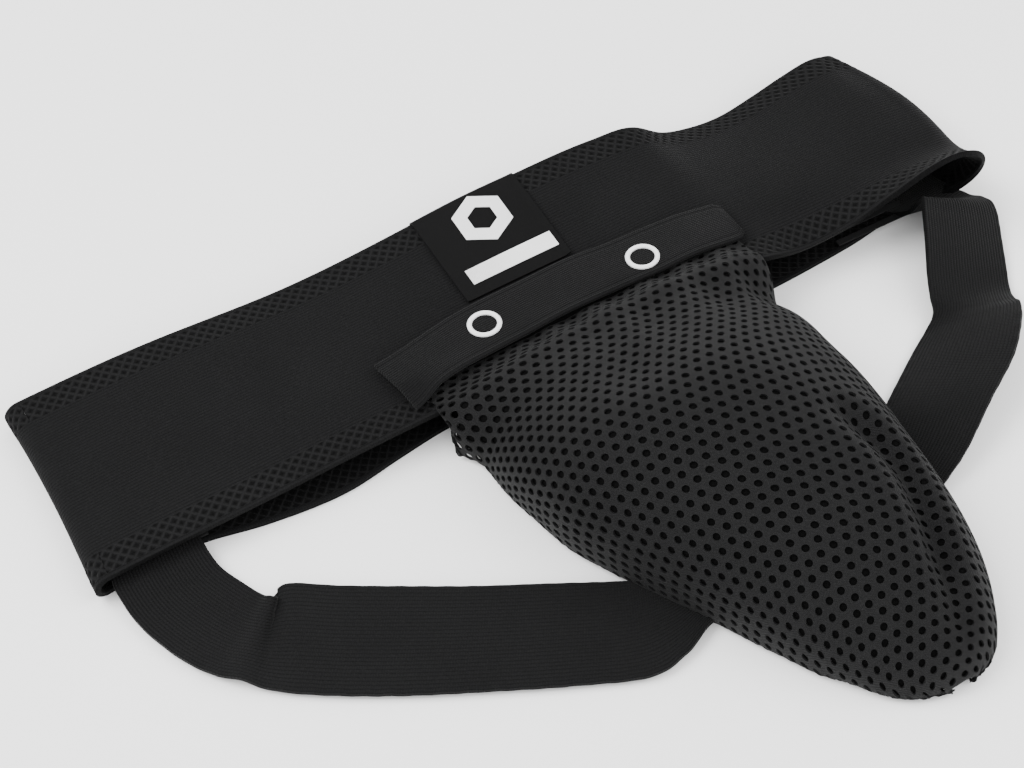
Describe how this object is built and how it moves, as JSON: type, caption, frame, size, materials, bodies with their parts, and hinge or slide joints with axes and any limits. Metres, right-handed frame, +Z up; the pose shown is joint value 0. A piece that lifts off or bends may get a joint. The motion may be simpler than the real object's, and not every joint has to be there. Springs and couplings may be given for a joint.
{
  "type": "groin protector",
  "caption": "Groin protector: wide elastic waistband, mesh pouch with a removable hard cup, snap band closing the pouch, and elastic leg straps.",
  "frame": {"origin": "centre of the waistband's underside, where the laid-out garment rests on a table", "axes": "+X along the waistband to the wearer's left, -Y from the waistband towards the pouch's tip, +Z up out of the front"},
  "size_m": [0.3337, 0.2364, 0.0574],
  "materials": {
    "ribbed_elastic": "matt black ribbed elastic with diamond-woven edges",
    "label_cloth": "black satin-woven label with a white woven pattern",
    "label_white": "white woven thread",
    "band_webbing": "matt black webbing",
    "white_ring": "white enamel",
    "stud_metal": "nickel plated",
    "lining_cloth": "matt black knit",
    "air_mesh": "black warp-knit air mesh with open cells",
    "cup_plastic": "satin moulded",
    "rim_rubber": "soft matt elastomer",
    "strap_elastic": "matt black woven elastic",
    "stitch_thread": "black polyester thread"
  },
  "bodies": {
    "garment": {"waistband": "ribbed_elastic", "woven_label": "label_cloth", "stud_left": "stud_metal", "stud_right": "stud_metal", "stud_ring_left": "stud_metal", "stud_ring_right": "stud_metal", "pouch_lining": "lining_cloth", "pouch_mesh": "air_mesh", "leg_strap_left": "strap_elastic", "leg_strap_right": "strap_elastic", "strap_tacks_left": "stitch_thread", "strap_tacks_right": "stitch_thread"},
    "snap_flap": {"snap_band": "band_webbing", "cap_ring_left": "white_ring", "cap_ring_right": "white_ring", "socket_left": "stud_metal", "socket_right": "stud_metal"},
    "cup": {"cup_shell": "cup_plastic", "cup_rim": "rim_rubber"}
  },
  "joints": [
    {"name": "snap_flap_fold", "type": "hinge", "parent": "garment", "child": "snap_flap", "pos_m": [0.01478, -0.02815, 0.02283], "axis": [0.9993, 0, 0.0386], "range_deg": [0, 115]},
    {"name": "cup_lift", "type": "slide", "parent": "garment", "child": "cup", "axis": [0, 0.2425, 0.9701], "range_m": [0, 0.12], "deforming": ["pouch_mesh"]}
  ]
}
